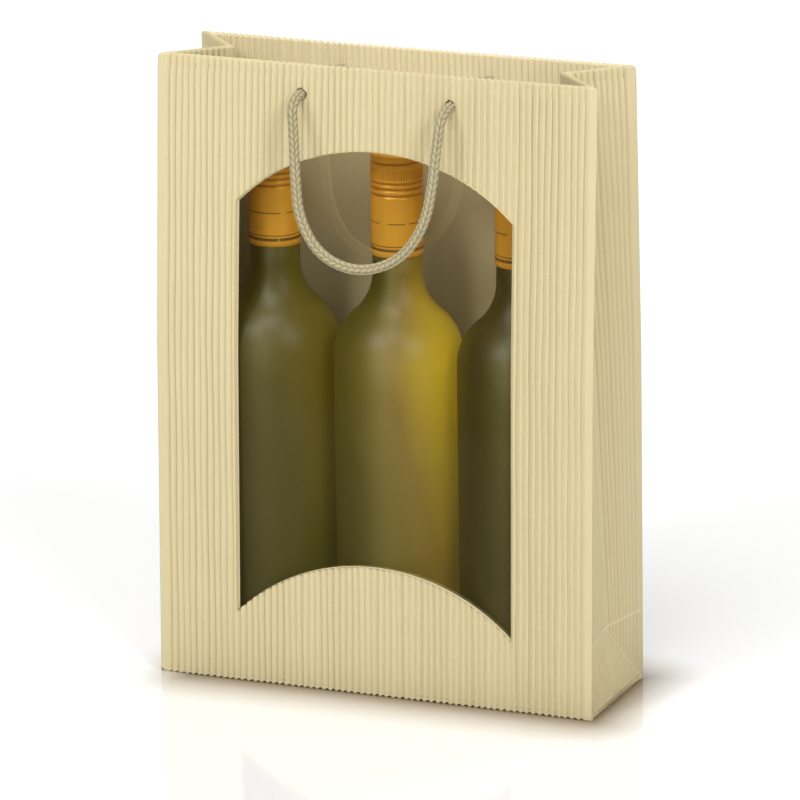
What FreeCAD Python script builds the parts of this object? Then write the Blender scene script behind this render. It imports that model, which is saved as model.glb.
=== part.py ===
import FreeCAD, Part
import math
import os

os.makedirs("parts", exist_ok=True)

# A carrier bag of open fluted board for three wine bottles.
# Millimetres. X runs along the front, Y from front to back, Z up.
# The origin is the middle of the bag's footprint.

# Bottles, in a row along the bag. The neck and the wine's level are measured from the top of the cap
shoulder_diameter = 75.0
bottle_height = 309.6
bottle_gap = 1.6
bottle_seat_gap = 0.2
shoulder_length = 49.0
neck_length = 70.6
neck_diameter = 29.0
finish_diameter = 26.0
neck_bore = 19.0
glass_wall = 3.0
heel_chamfer = 5.0
punt_depth = 14.0
punt_diameter = 46.0
fill_drop = 63.6
fill_gap = 0.25

# Long screw caps, with rolled grooves at heights above the skirt's edge
cap_length = 60.0
cap_wall = 0.5
cap_fit = 0.2
cap_grip = 3.0
groove_heights = [36.5, 43.5, 55.0]
groove_width = 2.4
groove_depth = 0.6
top_chamfer = 1.2
seal_thickness = 1.6

# Bag, measured over the flute crests. It is flattened against the bottles at belly height
bag_height = 370.0
mouth_depth = 62.0
belly_height = 200.0
belly_room = 0.25
belly_pinch = 6.4
end_room = 20.1

# Single-face board: a flat liner inside and one layer of flutes outside
liner = 0.4
flute_rise = 1.4
flute_pitch = 4.0

# The rim is folded inwards and glued down
hem_depth = 56.0

# Folded bottom
bottom_layers = 2
flap_step = 0.5
back_flap = 69.0
flap_bevel = 20.0

# Window in the front, with arched top and bottom edges. Its upper corners lie its drop below the rim
window_margin = 49.0
window_low = 42.0
window_drop = 83.0
window_rise = 35.0
film_thickness = 0.25
film_margin = 11.0

# Cord handles and their holes
cord_diameter = 6.2
hole_clearance = 0.5
hole_spacing = 92.0
hole_drop = 18.0
knot_width = 15.0
knot_length = 11.0
knot_tail = 5.0
knot_sides = 12
knot_end_share = 0.6
knot_bevel_share = 0.25
knot_gap = 0.2

# Stiffening card on the folded bottom
card_thickness = 2.0
card_clearance = 1.5

board = liner + flute_rise
shoulder_high = bottle_height - neck_length
shoulder_low = shoulder_high - shoulder_length
fill_height = bottle_height - fill_drop
bottle_spacing = shoulder_diameter + bottle_gap
belly_depth = shoulder_diameter + 2 * (board + film_thickness + belly_room)
bag_width = 3 * bottle_spacing + 2 * end_room
bag_depth = belly_depth + belly_pinch
window_width = bag_width - 2 * window_margin
window_high = bag_height - window_drop
cap_diameter = neck_diameter + 2 * (cap_fit + cap_wall)
seal_diameter = neck_diameter - 2 * groove_depth
rim_half = mouth_depth / 2
gusset_half = bag_depth / 2
floor_top = bottom_layers * board
card_top = floor_top + card_thickness
bottle_base = card_top + bottle_seat_gap
hole_height = bag_height - hole_drop
hole_radius = cord_diameter / 2 + hole_clearance

# Share of a cord's run that the arc at its end takes up
arc_share = 0.45


def vec(x, y, z):
    return FreeCAD.Vector(x, y, z)


def export(shape, name):
    shape.exportStep("parts/" + name + ".step")


def half_depth(height):
    """Half the depth of the bag: almost upright past the bottles, then leaning in to the mouth."""
    belly_half = belly_depth / 2
    if height <= belly_height:
        return gusset_half + (belly_half - gusset_half) * height / belly_height
    share = (height - belly_height) / (bag_height - belly_height)
    return belly_half + (rim_half - belly_half) * share


def fold_in(height):
    """How far the middle fold of a gusset stands in: each half keeps its own width."""
    return math.sqrt(gusset_half ** 2 - half_depth(height) ** 2)


def find_crease():
    """Height at which the bottom creases meet the middle fold, half the bag's depth along the board."""
    height = gusset_half
    for _ in range(20):
        height = math.sqrt(gusset_half ** 2 - fold_in(height) ** 2)
    return height


crease_height = find_crease()


def outline(height, fold_height=None, fold=None):
    """The six corners at one height: the front left one first, then anticlockwise seen from above."""
    half = half_depth(height)
    side = bag_width / 2
    if fold is None:
        fold = fold_in(height)
    if fold_height is None:
        fold_height = height
    return [
        vec(-side, -half, height),
        vec(side, -half, height),
        vec(side - fold, 0, fold_height),
        vec(side, half, height),
        vec(-side, half, height),
        vec(-side + fold, 0, fold_height),
    ]


def inward(start, end):
    """Unit normal of a wall in plan, towards the inside of the bag."""
    run = vec(end.x - start.x, end.y - start.y, 0)
    run.normalize()
    return vec(-run.y, run.x, 0)


def inset(corners, distance):
    """Moves each wall of an outline inwards in plan by one distance."""
    moved = []
    count = len(corners)
    for i in range(count):
        before = inward(corners[i - 1], corners[i])
        after = inward(corners[i], corners[(i + 1) % count])
        moved.append(corners[i] + (before + after) * (distance / (1 + before.dot(after))))
    return moved


def flute_counts():
    """Flutes along each of the six walls."""
    along_front = round(bag_width / flute_pitch)
    along_gusset = round(gusset_half / flute_pitch)
    return [along_front, along_gusset, along_gusset] * 2


def fluted(corners, valley):
    """An outline with flutes: crests on the walls, valleys between them, and pressed flat beside each fold."""
    row = []
    for i, count in enumerate(flute_counts()):
        start = corners[i]
        end = corners[(i + 1) % len(corners)]
        normal = inward(start, end)
        row.append(start)
        for flute in range(1, count - 1):
            row.append(start + (end - start) * (flute / count))
            row.append(start + (end - start) * ((flute + 0.5) / count) + normal * valley)
        row.append(start + (end - start) * ((count - 1) / count))
    return row


def facet(points):
    """Flat faces on three or four points, leaving out points that fall together."""
    kept = []
    for point in points:
        if not kept or (point - kept[-1]).Length > 1e-6:
            kept.append(point)
    if len(kept) > 1 and (kept[0] - kept[-1]).Length <= 1e-6:
        kept.pop()
    if len(kept) < 3:
        return []
    if len(kept) == 4:
        normal = (kept[1] - kept[0]).cross(kept[2] - kept[0])
        if abs((kept[3] - kept[0]).dot(normal)) > 1e-5 * normal.Length:
            return facet(kept[:3]) + facet([kept[0], kept[2], kept[3]])
    return [Part.Face(Part.makePolygon(kept + kept[:1]))]


def band(lower, upper):
    """The wall between two rows with the same number of points."""
    faces = []
    count = len(lower)
    for i in range(count):
        after = (i + 1) % count
        faces += facet([lower[i], lower[after], upper[after], upper[i]])
    return faces


def closed_wire(row):
    return Part.makePolygon(row + row[:1])


def flat_face(row):
    return Part.Face(closed_wire(row))


def flat_ring(outer, inner):
    """A level face between two rows at one height."""
    return Part.makeFace([closed_wire(outer), closed_wire(inner)], "Part::FaceMakerBullseye")


def solid_of(faces):
    shell = Part.makeShell(faces)
    shell.sewShape()
    solid = Part.makeSolid(shell)
    if solid.Volume < 0:
        solid.reverse()
    return solid


def bag_body():
    """Walls, pinched gussets, bottom and the turned-in rim, all one folded sheet."""
    hem_line = bag_height - hem_depth
    bottom = outline(0, fold=0)
    diagonal = outline(0, crease_height, fold_in(crease_height))
    crease = outline(crease_height)
    outer = [
        fluted(bottom, flute_rise),
        fluted(diagonal, flute_rise),
        fluted(crease, flute_rise),
        fluted(outline(belly_height), flute_rise),
        fluted(outline(bag_height), flute_rise),
    ]
    inner_floor = inset(outline(floor_top, fold=0), board)
    inner_crease = inset(crease, board)
    inner_diagonal = inner_floor[:2] + inner_crease[2:3] + inner_floor[3:5] + inner_crease[5:]
    inner = [
        inner_floor,
        inner_diagonal,
        inner_crease,
        inset(outline(belly_height), board),
        inset(outline(hem_line), board),
    ]
    hem = [
        fluted(inset(outline(hem_line), 2 * board), -flute_rise),
        fluted(inset(outline(bag_height), 2 * board), -flute_rise),
    ]
    faces = [flat_face(outer[0]), flat_face(inner[0])]
    for rows in (outer, inner, hem):
        for lower, upper in zip(rows, rows[1:]):
            faces += band(lower, upper)
    faces.append(flat_ring(inner[-1], hem[0]))
    faces.append(flat_ring(outer[-1], hem[1]))
    return solid_of(faces)


def window_prism():
    """Upright sides, and an arc that bulges upwards at the top and at the bottom."""
    side = window_width / 2
    start = -bag_depth
    low_left = vec(-side, start, window_low)
    low_right = vec(side, start, window_low)
    high_left = vec(-side, start, window_high)
    high_right = vec(side, start, window_high)
    edges = [
        Part.Arc(low_left, vec(0, start, window_low + window_rise), low_right).toShape(),
        Part.LineSegment(low_right, high_right).toShape(),
        Part.Arc(high_right, vec(0, start, window_high + window_rise), high_left).toShape(),
        Part.LineSegment(high_left, low_left).toShape(),
    ]
    return Part.Face(Part.Wire(edges)).extrude(vec(0, bag_depth - rim_half / 2, 0))


def cord_holes():
    """Round holes through both layers of the rim, front and back."""
    holes = []
    for x in (-hole_spacing / 2, hole_spacing / 2):
        start = vec(x, -bag_depth, hole_height)
        holes.append(Part.makeCylinder(hole_radius, 2 * bag_depth, start, vec(0, 1, 0)))
    return holes


def flap_step_cut():
    """The underside is stepped where the back flap ends over the front one, with bevelled ends."""
    side = bag_width / 2 + 1
    edge = gusset_half - back_flap
    outline_points = [
        vec(-side, -bag_depth, -1),
        vec(side, -bag_depth, -1),
        vec(side, edge - flap_bevel / 2, -1),
        vec(side - flap_bevel, edge, -1),
        vec(-side + flap_bevel, edge, -1),
        vec(-side, edge - flap_bevel / 2, -1),
    ]
    return flat_face(outline_points).extrude(vec(0, 0, 1 + flap_step))


def inner_front(height):
    """Y of the front wall's flat liner."""
    return -half_depth(height) + board


def window_film():
    """Clear film glued behind the window, bent with the wall, its top edge under the rim."""
    low = window_low - film_margin
    high = window_high + window_rise + film_margin
    half = window_width / 2 + film_margin
    heights = (low, belly_height, high)
    outside = [vec(-half, inner_front(z), z) for z in heights]
    inside = [vec(-half, inner_front(z) + film_thickness, z) for z in reversed(heights)]
    return flat_face(outside + inside).extrude(vec(2 * half, 0, 0))


def bag_board(film):
    body = bag_body().removeSplitter()
    return body.cut([window_prism(), film, flap_step_cut()] + cord_holes())


def base_card():
    """Plain card that lies on the folded bottom."""
    length = bag_width - 2 * (board + card_clearance)
    width = bag_depth - 2 * (board + card_clearance)
    return Part.makeBox(length, width, card_thickness, vec(-length / 2, -width / 2, floor_top))


def turned(profile, x):
    """Turns a closed half profile about the upright axis through x. A stretch with one point
    (radius, height) is a straight line to it, and one with two is an arc through the first."""
    edges = []
    last = profile[-1][-1]
    for stretch in profile:
        points = [vec(x + r, 0, z) for r, z in [last] + list(stretch)]
        if len(points) == 3:
            edges.append(Part.Arc(*points).toShape())
        else:
            edges.append(Part.LineSegment(*points).toShape())
        last = stretch[-1]
    face = Part.Face(Part.Wire(edges))
    return face.revolve(vec(x, 0, 0), vec(0, 0, 1), 360)


def shoulder(body, neck, low, high):
    """Two equal arcs, from the upright body round to the upright neck. Returns their points upwards."""
    turn = 2 * math.atan2(body - neck, high - low)
    radius = (high - low) / math.sin(turn) / 2
    rise = radius * math.sin(turn / 2)
    run = radius * (1 - math.cos(turn / 2))
    middle = ((body + neck) / 2, (low + high) / 2)
    return [(body - run, low + rise), middle, (neck + run, high - rise), (neck, high)]


def bottle(x):
    """Glass bottle: shallow punt, chamfered heel, upright body, round shoulders and long neck."""
    z = bottle_base
    body = shoulder_diameter / 2
    neck = neck_diameter / 2
    finish = finish_diameter / 2
    bore = neck_bore / 2
    punt = punt_diameter / 2
    low = z + shoulder_low
    high = z + shoulder_high
    mouth = z + bottle_height - cap_wall - seal_thickness
    collar = z + bottle_height - cap_length + cap_grip
    floor = z + glass_wall
    outer = shoulder(body, neck, low, high)
    inner = shoulder(body - glass_wall, bore, low, high)
    profile = [
        [(punt, z)],
        [(body - heel_chamfer, z)],
        [(body, z + heel_chamfer)],
        [(body, low)],
        outer[:2],
        outer[2:],
        [(neck, collar)],
        [(finish, collar + neck - finish)],
        [(finish, mouth)],
        [(bore, mouth)],
    ]
    profile += [[point] for point in reversed(inner)]
    profile += [
        [(body - glass_wall, low)],
        [(body - glass_wall, floor + heel_chamfer)],
        [(body - glass_wall - heel_chamfer, floor)],
        [(punt, floor)],
        [(0, floor + punt_depth)],
        [(0, z + punt_depth)],
    ]
    return turned(profile, x)


def wine(x):
    """The wine fills the bottle up into the neck, a fine gap off the glass."""
    z = bottle_base
    wall = glass_wall + fill_gap
    body = shoulder_diameter / 2 - wall
    bore = neck_bore / 2 - fill_gap
    low = z + shoulder_low
    floor = z + wall
    profile = [
        [(punt_diameter / 2, floor)],
        [(body - heel_chamfer, floor)],
        [(body, floor + heel_chamfer)],
        [(body, low)],
    ]
    profile += [[point] for point in shoulder(body, bore, low, z + shoulder_high)]
    profile += [
        [(bore, z + fill_height)],
        [(0, z + fill_height)],
        [(0, floor + punt_depth)],
    ]
    return turned(profile, x)


def cap(x):
    """Long drawn screw cap: a plain skirt, with rolled grooves near the top."""
    low = bottle_base + bottle_height - cap_length
    top = low + cap_length
    outer = cap_diameter / 2
    inner = outer - cap_wall
    profile = [[(outer, low)]]
    for height in groove_heights:
        middle = low + height
        profile.append([(outer, middle - groove_width / 2)])
        profile.append([(outer - groove_depth, middle)])
        profile.append([(outer, middle + groove_width / 2)])
    profile += [
        [(outer, top - top_chamfer)],
        [(outer - top_chamfer, top)],
        [(0, top)],
        [(0, top - cap_wall)],
        [(inner - groove_depth, top - cap_wall)],
        [(inner - groove_depth, low + groove_heights[0] - groove_width)],
        [(inner, low + groove_heights[0] - groove_width - groove_depth)],
        [(inner, low)],
    ]
    return turned(profile, x)


def cap_seal(x):
    """Sealing disc between the cap's top and the glass."""
    top = bottle_base + bottle_height - cap_wall
    return Part.makeCylinder(seal_diameter / 2, seal_thickness, vec(x, 0, top - seal_thickness), vec(0, 0, 1))


def cord_path(points):
    """Straight runs joined by tangent arcs, each as large as its two runs allow. Returns wire and radii."""
    edges = []
    radii = []
    last = points[0]
    for before, corner, after in zip(points, points[1:], points[2:]):
        arrive = corner - before
        leave = after - corner
        run = min(arrive.Length, leave.Length)
        turn = arrive.getAngle(leave)
        reach = arc_share * run
        radius = reach / math.tan(turn / 2)
        arrive.normalize()
        leave.normalize()
        start = corner - arrive * reach
        end = corner + leave * reach
        bisector = leave - arrive
        bisector.normalize()
        middle = corner + bisector * (radius / math.cos(turn / 2) - radius)
        edges.append(Part.LineSegment(last, start).toShape())
        edges.append(Part.Arc(start, middle, end).toShape())
        radii.append(radius)
        last = end
    edges.append(Part.LineSegment(last, points[-1]).toShape())
    return Part.Wire(edges), radii


def cord(name, route):
    """Round cord along its route. Prints its length, its arcs and how its volume compares."""
    points = [point + vec(0, 0, hole_height) for point in route]
    wire, radii = cord_path(points)
    section = Part.Circle(points[0], points[1] - points[0], cord_diameter / 2).toShape()
    tube = wire.makePipeShell([Part.Wire([section])], True, True)
    plain = math.pi * cord_diameter ** 2 / 4 * wire.Length
    print(name, "length", round(wire.Length, 1), "volume ratio", round(tube.Volume / plain, 4))
    print(name, "radii", [round(radius, 1) for radius in radii])
    return tube


def knot_face():
    """Distance from the middle of the bag to the knots' faces, just inside the turned-in rim."""
    return half_depth(hole_height + knot_width / 2) - 2 * board - knot_gap


def front_route():
    """Hangs in front from hole to hole, a little slack to the left. Heights are from the holes."""
    hole = hole_spacing / 2
    face = -knot_face()
    return [
        vec(-hole, face, 0),
        vec(-hole, -45, 0),
        vec(-43.2, -49, -18),
        vec(-40.8, -53, -41),
        vec(-38.2, -55, -67),
        vec(-25, -55, -88.5),
        vec(-1, -54.5, -96),
        vec(24.5, -55, -86),
        vec(39, -55, -65),
        vec(43.5, -53.5, -42),
        vec(44.5, -49, -19),
        vec(hole, -45, 0),
        vec(hole, face, 0),
    ]


def back_route():
    """Hangs behind the bag from hole to hole. Heights are from the holes."""
    hole = hole_spacing / 2
    face = knot_face()
    return [
        vec(hole, face, 0),
        vec(hole, 45, 0),
        vec(44.5, 48.5, -18),
        vec(42.5, 52, -41),
        vec(37, 54, -65),
        vec(22.5, 54.5, -86.5),
        vec(-1, 54, -95),
        vec(-24.5, 54.5, -85.5),
        vec(-38, 54.5, -64),
        vec(-43, 52.5, -41),
        vec(-45.5, 48.5, -18),
        vec(-hole, 45, 0),
        vec(-hole, face, 0),
    ]


def knot(x, side):
    """A pulled-tight knot inside the rim, with a short tail. Side is -1 in front and 1 behind."""
    wide = knot_width / 2
    thin = cord_diameter / 2
    rings = [
        (0, knot_end_share * wide),
        (knot_bevel_share * knot_length, wide),
        ((1 - knot_bevel_share) * knot_length, wide),
        (knot_length, knot_end_share * wide),
        (knot_length, thin),
        (knot_length + knot_tail, thin),
    ]
    rows = []
    for inwards, radius in rings:
        y = side * (knot_face() - inwards)
        row = []
        for step in range(knot_sides):
            angle = -side * 2 * math.pi * step / knot_sides
            row.append(vec(x + radius * math.cos(angle), y, hole_height + radius * math.sin(angle)))
        rows.append(row)
    faces = [flat_face(rows[0]), flat_face(rows[-1])]
    for lower, upper in zip(rows, rows[1:]):
        faces += band(lower, upper)
    return solid_of(faces)


def main():
    film = window_film()
    export(bag_board(film), "bag_board")
    export(film, "window_film")
    export(base_card(), "base_card")
    export(cord("front_cord", front_route()), "front_cord")
    export(cord("back_cord", back_route()), "back_cord")
    for face, side in (("front", -1), ("back", 1)):
        export(knot(-hole_spacing / 2, side), face + "_knot_left")
        export(knot(hole_spacing / 2, side), face + "_knot_right")
    for i, place in enumerate(("left", "middle", "right")):
        x = (i - 1) * bottle_spacing
        export(bottle(x), "bottle_" + place)
        export(wine(x), "wine_" + place)
        export(cap(x), "cap_" + place)
        export(cap_seal(x), "cap_seal_" + place)


main()
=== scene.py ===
import math

import bpy
import numpy as np
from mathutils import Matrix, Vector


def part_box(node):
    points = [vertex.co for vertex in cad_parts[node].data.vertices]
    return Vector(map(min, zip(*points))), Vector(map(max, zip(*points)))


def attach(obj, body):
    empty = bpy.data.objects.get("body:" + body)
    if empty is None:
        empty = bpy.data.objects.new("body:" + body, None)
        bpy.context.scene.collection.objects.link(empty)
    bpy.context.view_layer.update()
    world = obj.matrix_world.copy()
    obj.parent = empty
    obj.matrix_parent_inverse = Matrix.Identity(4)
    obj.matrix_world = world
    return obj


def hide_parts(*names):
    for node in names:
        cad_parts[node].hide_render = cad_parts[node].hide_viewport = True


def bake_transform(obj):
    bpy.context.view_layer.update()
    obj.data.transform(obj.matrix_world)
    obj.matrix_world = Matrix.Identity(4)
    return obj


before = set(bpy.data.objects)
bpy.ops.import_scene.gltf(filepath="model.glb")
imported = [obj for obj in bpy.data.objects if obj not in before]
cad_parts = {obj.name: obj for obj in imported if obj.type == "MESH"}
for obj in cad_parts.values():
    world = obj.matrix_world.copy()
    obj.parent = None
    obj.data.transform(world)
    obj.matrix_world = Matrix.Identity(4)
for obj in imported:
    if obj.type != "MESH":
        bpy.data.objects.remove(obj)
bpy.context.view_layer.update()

bl_info = {
    "name": "Window Bottle Bag",
    "version": (1, 0, 0),
    "blender": (4, 5, 0),
    "location": "View3D > Sidebar > Bottle Bag",
    "description": "Dresses a fluted board carrier bag with a film window, cord handles and three bottles",
    "category": "Object",
}

BAG_LOW, BAG_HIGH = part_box("bag_board")
BOTTLE_LOW, BOTTLE_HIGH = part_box("bottle_middle")
CAP_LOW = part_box("cap_middle")[0]
PLACES = ("left", "middle", "right")

FLUTE_DRAWS = 400  # one uneven depth for each flute: front from 0, back from 100, half gussets from 200
CUT_MARGIN = 0.0004  # the close row beside every cut edge
LAYER_MARKS = ((0.3135, 0.3143), (0.2607, 0.2613), (0.0507, 0.0513))  # heights of the faint cross marks
GROOVES = ((0.0362, 0.0009, 0.0007), (0.0400, 0.0009, 0.0007),
           (0.0434, 0.0008, 0.0007), (0.0551, 0.0008, 0.0009))  # on a cap: height, width and depth
BEADS = ((0.0381, 0.0010), (0.0417, 0.0009))  # height and width
KNURL_DEPTH = 0.00045
KNURL_RIBS = 60
CAP_SEGMENTS = 420
MOUTH = 0.3075  # top of the glass, inside the cap
# These three place the painted shadow on the floor round the bag's foot.
SHADE_SIDE = 0.124  # the shade on the floor starts this far from the middle, sideways
SHADE_FRONT = 0.041  # and this far, front and back
SHADE_WIDTH = 0.051
CLOTH_RADIUS = 3.4
SWEEP_RADIUS = 8.0
FLOOR_HALF = 9.0
AIM_HEIGHT = 0.18
CAMERA_PLACE = (1.4257, -3.4819, 1.2266)


def setting(kind, **fixed):
    """A short form of one kind of property, for its name, description and default."""
    return lambda name, description, default: kind(
        name=name, description=description, default=default, **fixed)


FACTOR = setting(bpy.props.FloatProperty, min=0.0)
LENGTH = setting(bpy.props.FloatProperty, unit="LENGTH")
ANGLE = setting(bpy.props.FloatProperty, subtype="ANGLE")
COUNT = setting(bpy.props.IntProperty, min=2)
COLOUR = setting(bpy.props.FloatVectorProperty, size=3, subtype="COLOR", min=0.0, max=1.0)


class BoardSettings(bpy.types.PropertyGroup):
    width: LENGTH("Width", "Across the front, over the crests", BAG_HIGH.x - BAG_LOW.x)
    depth: LENGTH("Depth", "Front to back at the bottom", BAG_HIGH.y - BAG_LOW.y)
    height: LENGTH("Height", "From the table to the rim", BAG_HIGH.z - BAG_LOW.z)
    belly_depth: LENGTH("Belly depth", "Front to back at belly height", 0.0796)
    belly_height: LENGTH("Belly height", "Where the walls start to lean in", 0.2)
    mouth_depth: LENGTH("Mouth depth", "Front to back at the rim", 0.062)
    board: LENGTH("Board", "Flutes and liner together", 0.0018)
    paper: LENGTH("Paper", "Thickness of one sheet of paper", 0.0002)
    rise: LENGTH("Flute rise", "From the valleys to the crests", 0.0013)
    front_flutes: COUNT("Front flutes", "Flutes across the front", 68)
    gusset_flutes: COUNT("Gusset flutes", "Flutes across half a gusset", 11)
    hem: LENGTH("Hem", "Depth of the turned-in rim", 0.056)
    colour: COLOUR("Board colour", "Straw colour of the paper", (0.615, 0.53, 0.318))


class WindowSettings(bpy.types.PropertyGroup):
    width: LENGTH("Width", "Between the upright edges", 0.172)
    low: LENGTH("Low", "Lower corners above the table", 0.042)
    high: LENGTH("High", "Upper corners above the table", 0.287)
    rise: LENGTH("Rise", "How far both arched edges bulge up", 0.035)
    sheen: FACTOR("Sheen", "Share of light that the film mirrors", 0.17)


class HandleSettings(bpy.types.PropertyGroup):
    diameter: LENGTH("Cord", "Diameter of the cord", 0.0062)
    hole: LENGTH("Hole", "Diameter of the holes", 0.0072)
    spacing: LENGTH("Spacing", "Between the two holes of a handle", 0.092)
    drop: LENGTH("Drop", "Holes below the rim", 0.018)
    strands: COUNT("Strands", "Pairs of stitch columns round the cord", 3)
    stitch: LENGTH("Stitch", "Length of one stitch along the cord", 0.0040)
    colour: COLOUR("Cord colour", "Natural cotton", (0.46, 0.40, 0.235))


class BottleSettings(bpy.types.PropertyGroup):
    shoulder: LENGTH("Shoulder", "Diameter under the shoulders", BOTTLE_HIGH.x - BOTTLE_LOW.x)
    foot: LENGTH("Foot", "Diameter above the heel", 0.0725)
    neck: LENGTH("Neck", "Diameter of the neck", 0.029)
    shoulder_low: LENGTH("Shoulder start", "Height where the shoulders start", 0.190)
    shoulder_high: LENGTH("Shoulder end", "Height where the neck starts", 0.239)
    dark: COLOUR("Dark glass", "Glass in its own shade", (0.036, 0.026, 0.0020))
    bright: COLOUR("Bright glass", "Glass lit through the wine", (0.40, 0.275, 0.016))
    cap: COLOUR("Cap colour", "Gold lacquer", (1.0, 0.475, 0.050))


class StageSettings(bpy.types.PropertyGroup):
    azimuth: ANGLE("Azimuth", "Camera to the right of the front", math.radians(22.2575))
    elevation: ANGLE("Elevation", "Camera above the horizon", math.radians(15.73))
    roll: ANGLE("Roll", "Turn about the line of sight", math.radians(-0.56))
    lens: FACTOR("Lens", "Focal length on a 36 mm sensor", 303.4)
    key: FACTOR("Key light", "Strength that all the sun lamps share", 1.3)


class Value:
    """One socket of a material. Arithmetic on it adds Math nodes."""

    def __init__(self, look, socket):
        self.look = look
        self.socket = socket

    def math(self, operation, *others):
        sockets = {i: value for i, value in enumerate((self,) + others)}
        return self.look.node("ShaderNodeMath", {"operation": operation}, sockets)

    def __add__(self, other):
        return self.math("ADD", other)

    __radd__ = __add__

    def __mul__(self, other):
        return self.math("MULTIPLY", other)

    __rmul__ = __mul__

    def __sub__(self, other):
        return self.math("SUBTRACT", other)

    def __rsub__(self, other):
        return self.look.node("ShaderNodeMath", {"operation": "SUBTRACT"}, {0: other, 1: self})

    def __truediv__(self, other):
        return self.math("DIVIDE", other)

    def __pow__(self, other):
        return self.math("POWER", other)


class Look:
    """A material under construction."""

    def __init__(self, name):
        self.material = bpy.data.materials.new(name)
        self.material.use_nodes = True
        self.tree = self.material.node_tree
        self.tree.nodes.clear()

    def node(self, kind, settings=None, sockets=None, output=0):
        """Adds a node, with its settings first and then the values or links of its sockets."""
        made = self.tree.nodes.new(kind)
        for key, value in (settings or {}).items():
            if key == "stops":
                ramp = made.color_ramp
                while len(ramp.elements) < len(value):
                    ramp.elements.new(1.0)
                for element, (position, colour) in zip(ramp.elements, value):
                    element.position = position
                    element.color = (*colour, 1.0)
            else:
                setattr(made, key, value)
        for key, value in (sockets or {}).items():
            if isinstance(value, Value):
                self.tree.links.new(value.socket, made.inputs[key])
            else:
                made.inputs[key].default_value = value
        return Value(self, made.outputs[output]) if made.outputs else None

    def place(self, scale=(1.0, 1.0, 1.0)):
        """Object coordinates in metres, stretched."""
        at = self.node("ShaderNodeTexCoord", output="Object")
        return self.node("ShaderNodeVectorMath", {"operation": "MULTIPLY"}, {0: at, 1: scale})

    def axis(self, name):
        at = self.node("ShaderNodeTexCoord", output="Object")
        return self.node("ShaderNodeSeparateXYZ", sockets={0: at}, output=name)

    def noise(self, vector, scale, detail=3.0, roughness=0.5):
        return self.node("ShaderNodeTexNoise", None,
                         {"Vector": vector, "Scale": scale, "Detail": detail, "Roughness": roughness}, "Fac")

    def attribute(self, name):
        return self.node("ShaderNodeAttribute", {"attribute_name": name}, output="Fac")

    def ramp(self, value, stops):
        return self.node("ShaderNodeValToRGB", {"stops": stops}, {0: value})

    def band(self, value, low, high, soft):
        """1 between low and high and 0 outside, with soft edges."""
        up, down = (self.node("ShaderNodeMapRange", None, {
            0: value, 1: middle - soft, 2: middle + soft, 3: before, 4: 1.0 - before,
        }) for middle, before in ((low, 0.0), (high, 1.0)))
        return up * down

    def mix(self, share, first, second):
        colours = [value if isinstance(value, Value) else (*value, 1.0) for value in (first, second)]
        return self.node("ShaderNodeMix", {"data_type": "RGBA"}, {0: share, 6: colours[0], 7: colours[1]}, 2)

    def bump(self, height, distance):
        return self.node("ShaderNodeBump", None, {"Height": height, "Distance": distance, "Strength": 1.0},
                         "Normal")

    def principled(self, sockets):
        values = {key: (*value, 1.0) if isinstance(value, tuple) and len(value) == 3 else value
                  for key, value in sockets.items()}
        return self.node("ShaderNodeBsdfPrincipled", None, values)

    def finish(self, shader):
        self.node("ShaderNodeOutputMaterial", None, {0: shader})
        return self.material

    def paint(self, sockets):
        return self.finish(self.principled(sockets))


def tinted(colour, factors):
    """The colour times one factor, or times a factor for each channel, and no brighter than white."""
    return tuple(min(1.0, float(c * k)) for c, k in zip(colour, np.broadcast_to(factors, 3)))


def hill(value, middle, width):
    """A bell curve: 1 at the middle, and about a third one width away."""
    return np.exp(-((value - middle) / width) ** 2)


def surface(x, y, z):
    """A grid of points from coordinates that may each be a row, a column or a whole grid."""
    return np.stack(np.broadcast_arrays(x, y, z), -1)


def quads(rows, columns, start=0, flip=False):
    """Faces of a grid whose points are stored row by row."""
    first = np.arange(rows - 1)[:, None] * columns + np.arange(columns - 1)[None, :] + start
    faces = np.stack([first, first + 1, first + columns + 1, first + columns], -1).reshape(-1, 4)
    return faces[:, ::-1] if flip else faces


def add_piece(name, sheets, material, body="bag", shades=None):
    """One mesh from several grids. Each sheet is (points, flip), with points as rows by columns by xyz."""
    points = []
    faces = []
    start = 0
    for grid, flip in sheets:
        rows, columns = grid.shape[:2]
        points.append(grid.reshape(-1, 3))
        faces.append(quads(rows, columns, start, flip))
        start += rows * columns
    mesh = bpy.data.meshes.new(name)
    mesh.from_pydata(np.concatenate(points), [], np.concatenate(faces))
    for key, values in (shades or {}).items():
        attribute = mesh.attributes.new(key, "FLOAT", "POINT")
        attribute.data.foreach_set("value", np.concatenate([v.ravel() for v in values]).astype(np.float32))
    mesh.polygons.foreach_set("use_smooth", np.ones(len(mesh.polygons), bool))
    mesh.materials.append(material)
    piece = bpy.data.objects.new(name, mesh)
    bpy.context.scene.collection.objects.link(piece)
    if body:
        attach(piece, body)
    return piece


def weld(piece):
    """Joins the edges of neighbouring grids."""
    modifier = piece.modifiers.new("Weld", "WELD")
    modifier.merge_threshold = 1e-6


def thicken(piece, thickness):
    """Gives a sheet its thickness, behind its visible face."""
    modifier = piece.modifiers.new("Paper", "SOLIDIFY")
    modifier.thickness = thickness
    modifier.offset = -1.0


def turned(profile, segments, x, y, z, wave=None):
    """A profile of (radius, height) points carried round an upright axis. The radius may swell with the
    angle."""
    radius, height = np.array(profile, float).T[:, :, None]
    angle = np.linspace(0, 2 * math.pi, segments + 1)
    reach = radius if wave is None else radius + wave(height, angle)
    return surface(x + reach * np.cos(angle), y + reach * np.sin(angle), z + height)


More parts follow.
